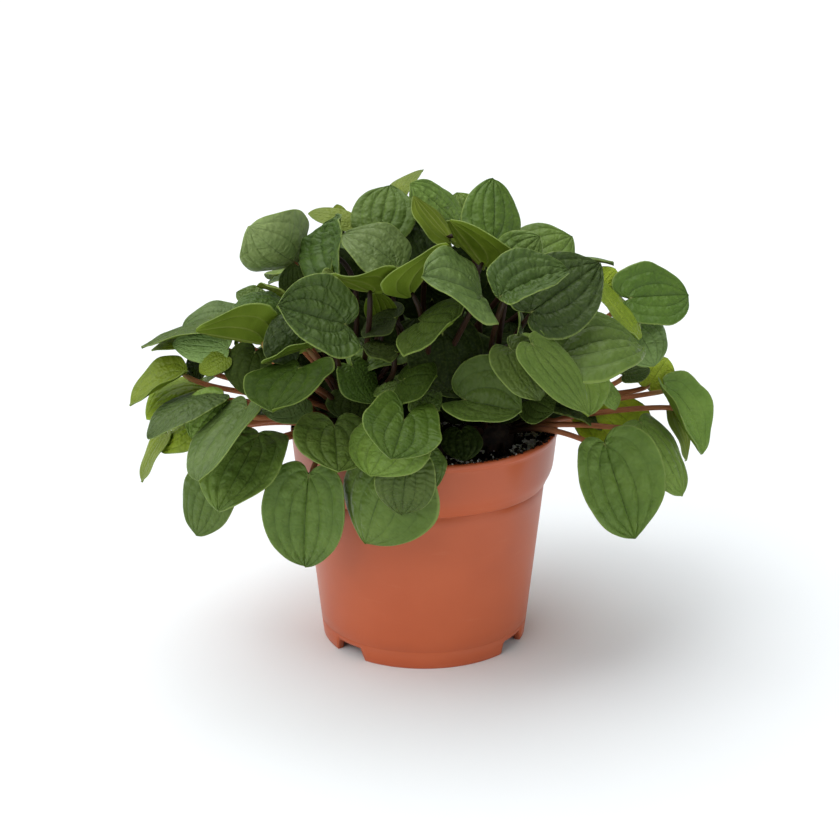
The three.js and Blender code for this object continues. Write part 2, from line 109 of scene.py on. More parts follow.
# The veins that leave the petiole's end and meet again at the tip, as shares of the way from
# the midrib to the margin.
VEINS = [0.0, 0.36, 0.70]
VEIN_HALF_WIDTH = 0.022
VEIN_FADE = 0.32                # how much less deep each vein is than the one inside it
SWELL_END = 1.03                # where the outermost field between veins would be flat again
WRINKLES = 9.5                  # across the blade, from its base to its tip
WRINKLE_LEAN = 2.2              # how many of them one crosses from the midrib to the margin

# ------------ camera

# The leaves are placed along the camera's sight lines, so these values come first.
VIEW_SIZE = 840
VIEW_CENTRE = 420
VIEW_FOCAL = 1800
VIEW_PITCH = 0.3069
VIEW_POINT = Vector((-0.0019, -0.771, 0.345))
SENSOR_MM = 36


def make_camera():
    data = bpy.data.cameras.new("camera")
    data.sensor_width = SENSOR_MM
    data.lens = SENSOR_MM * VIEW_FOCAL / VIEW_SIZE
    data.clip_start = 0.01
    data.clip_end = 100
    camera = bpy.data.objects.new("camera", data)
    camera.location = VIEW_POINT
    camera.rotation_euler = (math.pi / 2 - VIEW_PITCH, 0, 0)
    bpy.context.scene.collection.objects.link(camera)
    bpy.context.scene.camera = camera


def at(u, v, depth):
    """The point at world Y = depth behind pixel (u, v) of the 840 x 840 view."""
    right = (u - VIEW_CENTRE) / VIEW_FOCAL
    up = (VIEW_CENTRE - v) / VIEW_FOCAL
    ray = Vector((
        right,
        math.cos(VIEW_PITCH) + up * math.sin(VIEW_PITCH),
        -math.sin(VIEW_PITCH) + up * math.cos(VIEW_PITCH),
    ))
    return VIEW_POINT + ray * ((depth - VIEW_POINT.y) / ray.y)


# ------------ mesh helpers

def new_object(name, points, faces, materials, face_material=None, smooth=True):
    mesh = bpy.data.meshes.new(name)
    mesh.from_pydata([tuple(p) for p in points], [], faces)
    mesh.update()
    obj = bpy.data.objects.new(name, mesh)
    for material in materials:
        mesh.materials.append(material)
    if face_material is not None:
        mesh.polygons.foreach_set("material_index", face_material)
    mesh.polygons.foreach_set("use_smooth", [smooth] * len(mesh.polygons))
    bpy.context.scene.collection.objects.link(obj)
    return obj


def circle(radius, z, count, x=0.0, y=0.0):
    turns = [2 * math.pi * k / count for k in range(count)]
    return [(x + radius * math.cos(turn), y + radius * math.sin(turn), z) for turn in turns]


def band_faces(rows, columns, start=0, flip=False):
    """Quads between rings of points, facing out where each ring lies above the one before. flip
    turns them over."""
    faces = []
    for i in range(rows - 1):
        a, b = start + i * columns, start + (i + 1) * columns
        for k in range(columns):
            after = (k + 1) % columns
            if flip:
                faces.append((a + k, b + k, b + after, a + after))
            else:
                faces.append((a + k, a + after, b + after, b + k))
    return faces


def tube_faces(rows, columns, start=0, flip=False):
    """The same with the first and the last ring closed."""
    first = range(start, start + columns)
    last = range(start + (rows - 1) * columns, start + rows * columns)
    way = 1 if flip else -1
    return band_faces(rows, columns, start, flip) + [tuple(first[::way]), tuple(last[::-way])]


# ------------ node helpers

class Nodes:
    """Builds a material's node tree with short calls."""

    def __init__(self, name):
        self.material = bpy.data.materials.new(name)
        self.material.use_nodes = True
        self.tree = self.material.node_tree
        self.tree.nodes.clear()
        self.shader = self.new("BsdfPrincipled")
        self.new("OutputMaterial", Surface=self.shader.outputs[0])

    def new(self, kind, **inputs):
        node = self.tree.nodes.new("ShaderNode" + kind)
        for name, value in inputs.items():
            self.put(node.inputs[name], value)
        return node

    def put(self, socket, value):
        if hasattr(value, "is_output"):
            self.tree.links.new(value, socket)
        else:
            socket.default_value = value

    def attribute(self, name, output="Vector"):
        node = self.new("Attribute")
        node.attribute_name = name
        return node.outputs[output]

    def position(self):
        return self.new("TexCoord").outputs["Object"]

    def parts(self, vector):
        return self.new("SeparateXYZ", Vector=vector).outputs

    def vector(self, x, y, z):
        return self.new("CombineXYZ", X=x, Y=y, Z=z).outputs[0]

    def math(self, operation, a, b=0.0, kind="Math"):
        node = self.new(kind)
        node.operation = operation
        self.put(node.inputs[0], a)
        self.put(node.inputs[1], b)
        return node.outputs[0]

    def times(self, a, b):
        return self.math("MULTIPLY", a, b)

    def plus(self, a, b):
        return self.math("ADD", a, b)

    def minus(self, a, b):
        return self.math("SUBTRACT", a, b)

    def size(self, a):
        return self.math("ABSOLUTE", a)

    def ramp(self, value, low, high, to_low=0.0, to_high=1.0):
        node = self.new("MapRange")
        node.interpolation_type = "SMOOTHSTEP"
        for socket, number in zip(node.inputs, (value, low, high, to_low, to_high)):
            self.put(socket, number)
        return node.outputs["Result"]

    def mix(self, factor, a, b, blend="MIX"):
        node = self.new("Mix")
        node.data_type = "RGBA"
        node.blend_type = blend
        self.put(node.inputs["Factor"], factor)
        for name, colour in (("A", a), ("B", b)):
            self.put(node.inputs[name], colour if hasattr(colour, "is_output") else (*colour, 1))
        return node.outputs["Result"]

    def noise(self, vector, scale, detail=3.0, roughness=0.5):
        node = self.new("TexNoise", Vector=vector, Scale=scale, Detail=detail, Roughness=roughness)
        return node.outputs["Fac"]

    def cells(self, vector, scale):
        """How far each point is from the borders of a net of cells."""
        node = self.new("TexVoronoi", Vector=vector, Scale=scale)
        node.feature = "DISTANCE_TO_EDGE"
        return node.outputs["Distance"]

    def bump(self, height, strength, distance):
        node = self.new("Bump", Height=height, Strength=strength, Distance=distance)
        self.put(self.shader.inputs["Normal"], node.outputs[0])

    def set(self, **sockets):
        for name, value in sockets.items():
            self.put(self.shader.inputs[name.replace("_", " ")], value)


# ------------ materials

# Colours, linear.
VEIN_DARK = (0.016, 0.038, 0.006)
VEIN_PALE = (0.30, 0.34, 0.10)
MARGIN_PALE = (0.23, 0.31, 0.07)
BLOTCH = (0.62, 0.70, 0.60)     # multiplies the tint
FLECK = (0.18, 0.24, 0.05)
UNDER_GREEN = (0.105, 0.165, 0.004)
UNDER_BLOTCH = (0.060, 0.110, 0.003)
UNDER_FLECK = (0.15, 0.21, 0.012)
UNDER_VEIN = (0.28, 0.29, 0.09)
PETIOLE_REDS = (0.36, 0.105, 0.045), (0.58, 0.230, 0.095)
PETIOLE_NECK_GREEN = (0.34, 0.24, 0.07)
PETIOLE_INNER = (0.008, 0.003, 0.0015)
PETIOLE_SHADE = (0.022, 0.008, 0.005)
POT_REDS = (0.52, 0.098, 0.026), (0.58, 0.118, 0.035)
POT_SCUFF = (0.60, 0.17, 0.07)
PEATS = (0.0015, 0.001, 0.0008), (0.008, 0.0055, 0.004)
PEAT_FIBRE = (0.020, 0.013, 0.009)
CRUMB_BROWNS = (0.006, 0.004, 0.003), (0.040, 0.024, 0.015)
PERLITE_WHITES = (0.62, 0.60, 0.56), (0.93, 0.91, 0.87)
BARKS = (0.008, 0.005, 0.004), (0.035, 0.018, 0.011)

LEAF_GLOW = dict(
    Subsurface_Weight=0.05,
    Subsurface_Radius=(0.7, 1.0, 0.25),
    Subsurface_Scale=0.0015,
)


def leaf_top_material(name, specular, relief):
    n = Nodes(name)
    tint = n.attribute("tint", "Color")
    green = n.parts(tint)[1]
    r, s, vein = n.parts(n.attribute("leaf_rs"))
    flat = n.attribute("leaf_xy")
    fine = n.noise(flat, 9.0, 4.0, 0.6)
    out = n.size(r)

    # The small veins: the borders of a net of cells that leans towards the tip.
    bent = n.minus(n.times(s, 8.0), n.times(out, 1.6))
    cell_at = n.vector(n.times(r, 3.2), bent, n.parts(flat)[2])
    net = n.cells(n.math("ADD", cell_at, n.noise(flat, 1.6, 2.0), kind="VectorMath"), 1.5)

    blotch = n.ramp(n.noise(flat, 0.8, 2.0), 0.3, 0.7, 0.0, 0.6)
    colour = n.mix(blotch, tint, BLOTCH, "MULTIPLY")
    colour = n.mix(n.ramp(fine, 0.4, 0.8, 0.0, 0.14), colour, FLECK)
    colour = n.mix(n.ramp(net, 0.0, 0.11, 0.10, 0.0), colour, VEIN_DARK)
    # The main veins are darkest near the petiole, and in some places fainter than in others.
    fade = n.times(n.ramp(s, 0.4, 1.0, 0.8, 0.1), n.ramp(n.noise(flat, 1.3, 2.0), 0.35, 0.6, 0.3, 0.85))
    colour = n.mix(n.times(vein, fade), colour, VEIN_DARK)
    spot = n.times(n.ramp(s, 0.015, 0.085, 1.0, 0.0), n.ramp(out, 0.2, 0.7, 1.0, 0.0))
    colour = n.mix(spot, colour, VEIN_PALE)
    edge = n.times(n.ramp(out, 0.955, 0.99, 0.0, 0.75), n.ramp(green, 0.02, 0.1, 0.15, 1.0))
    colour = n.mix(edge, colour, MARGIN_PALE)

    # Soft waves all over, the pillows of the net and a fine grain.
    height = n.plus(n.times(n.noise(flat, 2.2, 2.0), 3.0), n.times(fine, 0.2))
    height = n.plus(height, n.ramp(net, 0.0, 0.4, 0.0, 0.6))
    # Fine wrinkles across, in waves that lean towards the tip: strong on the deep green leaves,
    # weak on the light ones and none on those in the shade.
    turn = n.minus(n.times(s, 98.0), n.times(out, 26.0))
    wave = n.math("SINE", n.plus(turn, n.times(n.noise(flat, 1.7, 2.0), 14.0)))
    share = n.times(n.ramp(green, 0.070, 0.081), n.ramp(green, 0.10, 0.16, 0.68, 0.10))
    share = n.times(share, n.ramp(out, 0.05, 0.35, 0.2, 1.0))
    n.bump(n.plus(height, n.times(wave, share)), relief, 0.0008)
    n.set(
        Base_Color=colour,
        Roughness=n.ramp(fine, 0.3, 0.7, 0.38, 0.50),
        Specular_IOR_Level=specular,
        **LEAF_GLOW,
    )
    return n.material


def leaf_under_material():
    n = Nodes("leaf_under_side")
    r, _, vein = n.parts(n.attribute("leaf_rs"))
    flat = n.attribute("leaf_xy")
    fine = n.noise(flat, 7.0, 4.0, 0.6)
    colour = n.mix(0.5, n.attribute("tint", "Color"), UNDER_GREEN)
    colour = n.mix(n.ramp(n.noise(flat, 0.9, 2.0), 0.3, 0.7, 0.0, 0.4), colour, UNDER_BLOTCH)
    colour = n.mix(n.ramp(fine, 0.4, 0.8, 0.0, 0.2), colour, UNDER_FLECK)
    colour = n.mix(n.times(vein, 0.6), colour, UNDER_VEIN)
    colour = n.mix(n.ramp(n.size(r), 0.965, 0.998, 0.0, 0.6), colour, MARGIN_PALE)
    n.bump(n.plus(fine, n.times(vein, 1.5)), 0.25, 0.0006)
    n.set(Base_Color=colour, Roughness=0.6, Specular_IOR_Level=0.08, **LEAF_GLOW)
    return n.material


def petiole_material():
    """Reddish, greener at the blade, dark near the middle of the plant and on shade leaves."""
    n = Nodes("petiole")
    r, s, _ = n.parts(n.attribute("leaf_rs"))
    green = n.parts(n.attribute("tint", "Color"))[1]
    away = n.size(n.minus(n.parts(n.position())[0], 0.003))
    streak = n.noise(n.vector(n.times(r, 6.0), n.times(s, 5.0), 0.0), 2.0)
    speck = n.noise(n.position(), 900.0, 2.0)
    colour = n.mix(n.ramp(streak, 0.3, 0.7), *PETIOLE_REDS)
    colour = n.mix(n.ramp(s, 0.80, 1.0, 0.0, 0.75), colour, PETIOLE_NECK_GREEN)
    colour = n.mix(n.ramp(away, 0.041, 0.058, 0.96, 0.0), colour, PETIOLE_INNER)
    colour = n.mix(n.ramp(green, 0.03, 0.07, 0.85, 0.0), colour, PETIOLE_SHADE)
    n.bump(n.plus(streak, n.times(speck, 0.5)), 0.3, 0.0004)
    n.set(Base_Color=colour, Roughness=0.45, Specular_IOR_Level=0.25)
    return n.material


def pot_material():
    n = Nodes("pot_plastic")
    where = n.position()
    broad = n.noise(where, 18.0)
    grain = n.noise(where, 1400.0, 2.0)
    # Faint scuffs that run round the pot.
    x, y, z = n.parts(where)
    scuff = n.noise(n.vector(n.times(x, 60), n.times(y, 60), n.times(z, 500)), 1.0, 4.0)
    colour = n.mix(n.ramp(broad, 0.3, 0.7), *POT_REDS)
    colour = n.mix(n.ramp(scuff, 0.62, 0.8, 0.0, 0.25), colour, POT_SCUFF)
    n.bump(grain, 0.12, 0.0003)
    n.set(Base_Color=colour, Roughness=n.ramp(broad, 0.3, 0.7, 0.34, 0.44), Specular_IOR_Level=0.5)
    return n.material


def soil_material():
    n = Nodes("soil_peat")
    where = n.position()
    lump = n.noise(where, 260.0, 5.0, 0.65)
    fibre = n.noise(where, 900.0, 3.0, 0.6)
    colour = n.mix(n.ramp(lump, 0.35, 0.7), *PEATS)
    colour = n.mix(n.ramp(fibre, 0.62, 0.75, 0.0, 0.6), colour, PEAT_FIBRE)
    n.bump(n.plus(lump, n.times(fibre, 0.5)), 1.0, 0.0015)
    n.set(Base_Color=colour, Roughness=0.92, Specular_IOR_Level=0.03)
    return n.material


def rough_material(name, scale, detail, span, colours, bump, roughness, specular):
    """Two colours by one noise, which also makes the bumps. span: from where to where it mixes."""
    n = Nodes(name)
    grain = n.noise(n.position(), scale, detail, 0.6)
    n.bump(grain, *bump)
    n.set(
        Base_Color=n.mix(n.ramp(grain, *span), *colours),
        Roughness=roughness,
        Specular_IOR_Level=specular,
    )
    return n.material


LEAF_TOP = leaf_top_material("leaf_upper_side", 0.22, 0.5)
LEAF_INNER = leaf_top_material("leaf_upper_side_inner", 0.05, 0.3)
LEAF_UNDER = leaf_under_material()
PETIOLE = petiole_material()
CRUMB = rough_material(
    "soil_crumb", 700.0, 4.0, (0.35, 0.7), CRUMB_BROWNS, (0.8, 0.0008), 0.9, 0.1,
)
PERLITE = rough_material(
    "perlite", 1500.0, 3.0, (0.35, 0.65), PERLITE_WHITES, (0.7, 0.0006), 0.8, 0.3,
)
CROWN = rough_material("crown", 240.0, 4.0, (0.35, 0.65), BARKS, (0.8, 0.001), 0.7, 0.3)

# ------------ leaves

# What the upper sides look like: the colour, linear, how far the blade swells between its main
# veins, in widths, and how deep the cross wrinkles cut into that.
TINTS = {
    "shade": ((0.012, 0.021, 0.004), 0.010, 0.2),
    "deep": ((0.052, 0.086, 0.017), 0.038, 0.8),
    "green": ((0.110, 0.172, 0.030), 0.028, 0.6),
    "fresh": ((0.098, 0.172, 0.022), 0.024, 0.7),
    "grey": ((0.150, 0.218, 0.062), 0.020, 0.5),
    "bright": ((0.155, 0.236, 0.040), 0.020, 0.5),
    "olive": ((0.158, 0.205, 0.028), 0.012, 0.3),
    "young": ((0.215, 0.285, 0.020), 0.008, 0.3),
    "pale": ((0.245, 0.310, 0.110), 0.010, 0.3),
}
PLAIN = (0.1, -0.12, 0.0, 0.15, 0.36)    # a shape, in the order that Leaf tells
SHADE_LOOK = "0,-.8,.6 plain shade 1".split()


class Leaf:
    """One leaf. base, tip: the blade's ends. face: where its upper side looks.

    shape: arch, the bow of the midrib; cup, the rise of the margins; fold, the slope of a fold
    along the midrib; lobe, the length of the lobes in widths; wide, where the blade is widest,
    in lengths from its base. tint, light: its looks and how light it is. quilt: how far it
    swells, against others of its tint. lift: how steeply the petiole starts. arrival: the
    petiole's direction at the blade, along the midrib and out through the upper side."""

    def __init__(self, name, crown, base, tip, width, face, shape, tint,
                 light=1.0, quilt=1.0, lift=0.35, arrival=(0.3, 0.9)):
        self.name, self.crown, self.base, self.tip, self.width = name, crown, base, tip, width
        self.arch, self.cup, self.fold, self.lobe, self.wide = shape
        self.tint, self.light, self.quilt = tint, light, quilt
        self.lift, self.arrival = lift, arrival
        self.length = (tip - base).length
        self.along = (tip - base).normalized()
        self.normal = (face - self.along * face.dot(self.along)).normalized()


def numbers(field):
    values = [float(part) for part in field.split(",")]
    return values if len(values) > 1 else values[0]


def read_leaves(table):
    leaves = []
    for line in table.splitlines():
        if line.startswith("#"):
            continue
        name, crown, base, tip, depths, width, *look = line.split()
        face, shape, tint, light, *more = look or SHADE_LOOK
        ends = [at(*numbers(pixel), y / 1000) for pixel, y in zip((base, tip), numbers(depths))]
        leaves.append(Leaf(
            name, crown, *ends, numbers(width) / 1000, Vector(numbers(face)),
            PLAIN if shape == "plain" else numbers(shape), tint, numbers(light),
            **{key: numbers(value) for key, value in (pair.split("=") for pair in more)},
        ))
    return leaves


# Leaves pinned to the view, one a line: name, crown, base and tip in pixels, world Y of both and
# width in mm, where the upper side faces, shape, tint, light, and what differs from Leaf's
# defaults. These are nodes of the CAD model.
LEAVES = read_leaves("""\
# along the top
leaf_top_1 left 296,262 249,227 -10,-27 34.5 -.37,-.83,.41 .19,-.43,-.41,.04,.29 pale 1.3
leaf_top_2 left 334,259 337,216 -29,-19 42 -.88,-.45,.17 .03,-.02,.34,.36,.33 deep 1.5 quilt=1.2
leaf_top_3 left 398,268 342,235 -52,-47 31.5 -.09,-.38,.92 .12,-.01,.1,.06,.33 grey .97 lift=.4
leaf_top_4 front 380,233 390,185 -30,-14 28 -.17,-.89,.42 .09,-.13,.04,.13,.34 green .95 quilt=1.3
leaf_top_5 back 399,196 422,170 6,19 18 -.56,-.18,.81 .11,.1,.01,.1,.36 olive 1.1
leaf_top_6 back 455,223 410,183 -6,-6 29.5 .4,-.58,.71 .05,-.22,-.05,.15,.37 green 1.4
leaf_top_7 right 449,242 412,197 -40,-31 25 -.66,.38,.65 0,.18,-.14,.15,.38 olive .85
leaf_top_8 front 486,265 451,219 -59,-67 42.5 .6,.43,.67 .01,.18,.06,.09,.18 olive .85
leaf_top_9 back 493,240 493,178 -34,-17 27 .33,-.91,.24 .06,-.23,-.05,.15,.35 fresh 1 quilt=1.3 lift=.42
leaf_top_10 back 522,262 572,236 -26,-14 30 .2,-.61,.77 .09,-.14,-.01,.15,.36 green 1.2 lift=.24
# the middle of the bush
leaf_middle_1 left 373,290 336,274 -61,-73 41.5 -.07,.19,.98 0,.45,-.14,.04,.38 olive .6 lift=.25
leaf_middle_2 front 408,296 447,243 -65,-71 34 -.49,.31,.82 0,.11,.28,.04,.14 olive 1.5 lift=.5
leaf_middle_3 left 346,325 277,306 -84,-100 36 -.27,-.74,.62 0,-.04,.26,.14,.31 deep 1.3 lift=.1
leaf_middle_4 front 421,322 452,322 -74,-88 37.5 -.12,-.51,.85 0,-.08,-.05,.17,.36 green .5 lift=.1
leaf_middle_5 front 482,298 422,276 -80,-95 43 .09,-.48,.87 .06,-.18,.27,.04,.28 grey .9
leaf_middle_6 right 461,431 464,461 -46,-55 18 .07,-.79,.6 .07,-.17,-.05,.17,.37 deep .3 lift=.2
leaf_middle_7 right 464,400 522,411 -72,-79 35 .09,-.62,.78 0,.17,.46,.2,.36 green .85 quilt=.7
# the right side
leaf_right_1 right 499,298 569,271 -91,-80 26.5 .03,-.45,.89 .07,-.01,.54,.04,.35 deep 1.45 quilt=1.25 \
    lift=1
leaf_right_2 right 530,313 600,263 -74,-52 36 .26,-.75,.61 0,-.04,.1,.13,.31 deep .97 quilt=1.25
leaf_right_3 right 630,298 689,295 -12,2 32 .15,-.73,.67 .03,.01,.13,.23,.38 fresh .9
leaf_right_4 right 632,325 655,366 -14,-22 32.5 .56,-.76,.31 .09,-.16,-.02,.15,.36 grey 1.2 lift=.05
leaf_right_5 right 558,358 642,348 -70,-52 43 .01,-.43,.9 .16,-.41,.38,.12,.31 green 1.2 quilt=1.2 \
    lift=1.15 arrival=.9,-.4
leaf_right_6 back 547,345 589,416 -28,-54 43.5 .65,-.68,.34 .03,-.04,.12,.17,.46 bright 1.55
leaf_right_7 right 604,443 635,539 -34,-43 41.5 .42,-.89,.19 0,.28,.08,.12,.39 green 1.45 quilt=1.6
leaf_right_8 right 640,422 683,496 -16,-30 31.5 .66,-.67,.34 .06,-.19,-.07,.09,.36 green 1.75 lift=.2
leaf_right_9 right 664,385 703,454 -4,-17 33 .77,-.47,.42 0,.32,.21,.12,.35 green 1.55 lift=.15
leaf_right_10 right 600,412 643,452 2,-9 38 .33,-.7,.63 .01,.04,0,.24,.39 young 3 lift=.02
# the front, hanging over the rim
leaf_front_1 front 404,420 392,459 -91,-103 32.5 .11,-.86,.5 .09,.2,.07,.45,.36 fresh .85 quilt=1.3
leaf_front_2 left 393,432 370,476 -77,-88 41 -.46,-.65,.6 0,-.04,-.09,.27,.29 bright 1.2
leaf_front_3 front 408,460 402,515 -82,-80 25 -.09,-.97,.23 .15,-.11,.03,.15,.39 green .75
leaf_front_4 front 392,470 366,544 -72,-71 47 -.46,-.82,.34 .09,-.31,-.09,.14,.36 bright .8
leaf_front_5 left 334,426 338,472 -60,-77 37 .29,-.83,.48 .02,.1,0,.19,.34 green 1.3
leaf_front_6 left 309,474 305,567 -56,-52 36 -.15,-.98,.09 .1,.07,.22,.13,.33 green 1.15 quilt=1.3 lift=.9
# the left side
leaf_left_1 left 300,368 272,411 -66,-90 40.5 -.41,-.53,.75 .03,.14,-.01,.16,.36 fresh .4
leaf_left_2 left 269,342 196,330 -46,-51 39 .19,.64,.75 0,.14,.26,.04,.14 olive .85
leaf_left_3 left 232,322 141,347 -22,-4 26 0,-.1,.99 .04,.07,-.01,.15,.35 green .75
leaf_left_4 left 186,370 129,405 -20,-25 28.5 -.69,-.23,.68 .03,.21,.15,.04,.33 young .88 lift=.3
leaf_left_5 left 213,393 147,438 -32,-50 27.5 -.7,-.46,.55 .1,-.05,-.07,.15,.46 grey .6 lift=.4
leaf_left_6 left 247,407 199,482 -48,-84 38.5 -.71,-.62,.35 0,-.1,.29,.18,.4 grey .85 lift=.5
leaf_left_7 left 259,434 218,511 -40,-66 41 -.54,-.81,.23 0,.07,0,.07,.4 green 1.5 lift=.2
leaf_left_8 left 213,476 196,536 -34,-31 27 -.4,-.88,.24 .05,-.15,-.03,.15,.33 green .95 lift=.5
""")

# Leaves that only show as slivers, edges or shade between the ones above. Where a line ends with
# the width, SHADE_LOOK follows.
EXTRA_LEAVES = read_leaves("""\
# behind the top
young_top_1 back 354,224 308,213 14,20 13 .1,-.5,.85 plain olive 1.35 quilt=.4
young_top_2 back 341,226 337,204 24,28 8.5 0,-.7,.7 plain young 1
young_top_3 back 470,235 457,192 12,20 22 .1,-.9,.3 plain bright 1
inner_top_1 right 505,268 540,236 -38,-42 22 .2,-.8,.6 plain deep 2.75
inner_top_2 back 432,264 408,210 -27,-20 26 .4,-.8,.4 plain deep .7
side_top_1 back 562,261 614,264 -6,2 20 .1,.25,1 plain grey 1.2 quilt=.1
young_top_4 right 600,286 616,269 -8,-4 13 .2,-.8,.5 plain young 2.2 quilt=.5
# between the leaves of the right side
young_right_1 right 604,292 640,339 -22,-33 35 .9,-.39,.17 .03,.03,.01,.15,.38 young 1.05
inner_right_1 right 509,347 541,400 -76,-82 25 .45,-.75,.5 plain green .9 quilt=.3
edge_right_1 right 517,347 520,312 -60,-62 20 1,-.15,0 plain grey .9
edge_right_3 right 531,343 587,412 -84,-90 20 .35,-.75,.5 .05,-.12,0,.15,.32 bright .9
inner_right_2 right 530,400 554,411 -30,-34 20 .2,-.8,.5 plain green .5 quilt=.4
side_right_1 right 650,384 668,358 4,10 17 .2,-.6,.75 plain young 2
inner_right_3 right 624,374 650,369 -4,0 13 0,-.5,.85 plain fresh .6
edge_right_2 right 604,385 616,410 -22,-26 16 .7,-.5,.3 plain green 2.1
side_right_2 right 671,411 685,461 0,6 20.5 -.75,.41,-.52 -.1,.05,-.07,.14,.36 olive 1 lift=-.35
# inside the bush
inner_middle_1 left 396,352 362,345 -66,-63 23 .1,-.06,.99 .08,-.15,.01,.06,.35 green .3
inner_middle_2 left 396,318 362,330 -54,-47 25.5 .2,-.4,.89 .13,-.09,.03,.04,.35 grey .2 quilt=.5
under_middle_1 left 384,322 375,292 -44,-50 14 .1,.9,.3 plain olive .25
inner_middle_3 front 404,379 437,375 -70,-74 30 -.06,-.42,.91 .11,-.09,-.05,.15,.34 fresh .38 quilt=.35
inner_middle_4 left 401,382 375,391 -62,-54 18.5 -.04,-.29,.96 .05,-.1,.03,.08,.36 green 1
inner_middle_5 left 352,366 374,403 -54,-57 26 .55,-.4,.7 .04,-.19,.05,.14,.37 fresh .85 quilt=.35
inner_middle_6 right 455,350 480,395 -44,-50 34 .1,-.9,.4 plain deep .3
inner_middle_7 left 352,395 350,422 -38,-42 22 0,-.8,.5 plain green .25 quilt=.6
inner_middle_8 front 442,332 450,392 -64,-60 32 .1,-.9,.4 plain green .12 quilt=.6
edge_middle_1 front 420,398 440,410 -66,-68 20 0,-.4,.9 plain green 1
inner_front_1 front 420,452 430,492 -64,-69 24.5 .58,-.74,.35 .1,-.15,-.02,.15,.35 green .95
# the dark inside of the bush, behind everything in front
shade_1 back 313,300 309,260 0,4 27
shade_2 back 332,290 330,246 4,8 40
shade_3 back 366,300 362,262 6,10 42
shade_4 back 398,306 398,262 8,12 42
shade_5 back 432,300 432,250 8,12 42
shade_6 back 466,300 466,248 8,12 42
shade_7 back 502,310 506,262 6,10 42
shade_8 back 540,330 546,284 2,6 40
shade_9 back 330,350 326,306 -8,-4 40
shade_10 back 372,360 370,316 -4,0 42
shade_11 back 416,364 416,318 -2,2 42
shade_12 back 462,362 462,316 -2,2 42
shade_13 back 508,368 510,322 -4,0 42
shade_14 back 400,412 400,370 -18,-14 42
shade_15 back 440,410 442,368 -16,-12 42
shade_16 back 486,410 488,366 -16,-12 42
shade_17 back 536,404 540,362 -10,-6 40
shade_19 back 417,280 415,236 4,8 30
shade_20 back 458,286 457,245 4,8 30
shade_21 back 352,340 352,298 0,4 34
shade_22 left 302,388 299,352 -12,-8 22
shade_18 back 352,404 350,364 -24,-20 40
# between the leaves of the left side
inner_left_1 left 302,397 262,412 -38,-44 21 -.2,-.8,.5 plain grey .8 quilt=.4
edge_left_1 left 310,345 261,362 -54,-60 22 .07,.45,.89 0,.19,-.15,.16,.36 bright 1
inner_left_2 left 255,352 245,395 -30,-36 26 -.3,-.9,.2 plain green .38 quilt=.5
inner_left_3 left 298,345 272,320 -58,-56 26 -.2,-.8,.5 plain deep .7 quilt=.4
inner_left_9 left 294,295 293,263 -20,-16 13 0,-.9,.4 plain green .25 quilt=.5
inner_left_10 left 306,374 290,378 -30,-30 8 0,-.9,.4 plain deep .5
inner_left_11 left 300,380 284,384 -34,-34 8 0,-.9,.4 plain deep .5
inner_left_12 left 296,387 280,391 -30,-30 8 0,-.9,.4 plain deep .5
inner_left_13 left 290,392 276,396 -36,-36 8 0,-.9,.4 plain deep .5
inner_left_14 left 286,398 272,402 -28,-28 7 0,-.9,.4 plain deep .5
edge_left_2 left 205,341 151,350 -8,-2 10 0,-.4,.9 plain young 1.2
inner_left_4 left 236,318 181,329 8,9 25 -.13,-.48,.87 .11,-.09,-.01,.12,.35 grey .75
inner_left_5 left 282,306 234,305 -20,-19 25.5 -.09,-.3,.95 .09,-.15,-.02,.15,.36 deep 1.75 quilt=.5
edge_left_3 left 262,300 236,293 -4,-2 16 0,-.4,.9 plain green 1
edge_left_4 left 296,300 257,285 -34,-30 24 0,.4,.9 plain olive 1
inner_left_6 left 228,348 172,343 -26,-16 16 -.3,-.75,.55 0,-.06,.04,.07,.37 grey 1.6 quilt=.3
inner_left_7 left 225,356 199,372 -28,-28 14 -.2,-.6,.7 plain young .9
inner_left_8 left 200,366 184,368 -10,-8 16 -.1,-.6,.7 plain deep 1
side_left_1 left 209,388 146,418 -8,-24 32 -.51,-.6,.61 .11,-.1,-.03,.05,.35 young 1.9
side_left_2 left 165,434 141,482 -16,-20 22 -.94,-.31,.11 .06,-.02,.05,.15,.36 young .9
side_left_3 left 198,421 159,450 -20,-19 24 -.68,-.28,.68 .09,-.32,-.02,.04,.36 young 1.25
side_left_4 left 222,402 192,440 -36,-40 26 -.3,-.8,.4 plain green 2.05
""")

# The side that the photo doesn't show, all on the back crown. Name, first number, count, first
# and last heading, radius, height, length, width, slope.
BACK_RINGS = [
    ("leaf_back", 1, 6, 12, 170, 0.079, 0.128, 0.036, 0.034, -0.75),
    ("leaf_back", 7, 4, 22, 138, 0.066, 0.162, 0.034, 0.032, -0.35),
    ("leaf_back", 11, 3, 45, 140, 0.038, 0.174, 0.032, 0.028, 0),
]
BACK_TINTS = ["green", "deep", "grey", "green", "bright"]
# More leaves there that fill the gaps between those rings, and the shade inside the bush.
FILL_RINGS = [
    ("fill_low", 1, 7, 0, 180, 0.052, 0.112, 0.034, 0.032, -0.55),
    ("fill_back", 1, 5, 35, 165, 0.060, 0.146, 0.034, 0.032, -0.55),
    ("fill_high", 1, 5, 20, 160, 0.044, 0.164, 0.032, 0.030, -0.2),
    ("fill_inner", 1, 9, 0, 320, 0.026, 0.140, 0.030, 0.030, -0.1),
    ("fill_core", 1, 7, 20, 340, 0.018, 0.122, 0.026, 0.028, 0.1),
]
FILL_TINTS = ["deep", "shade", "deep", "green"]


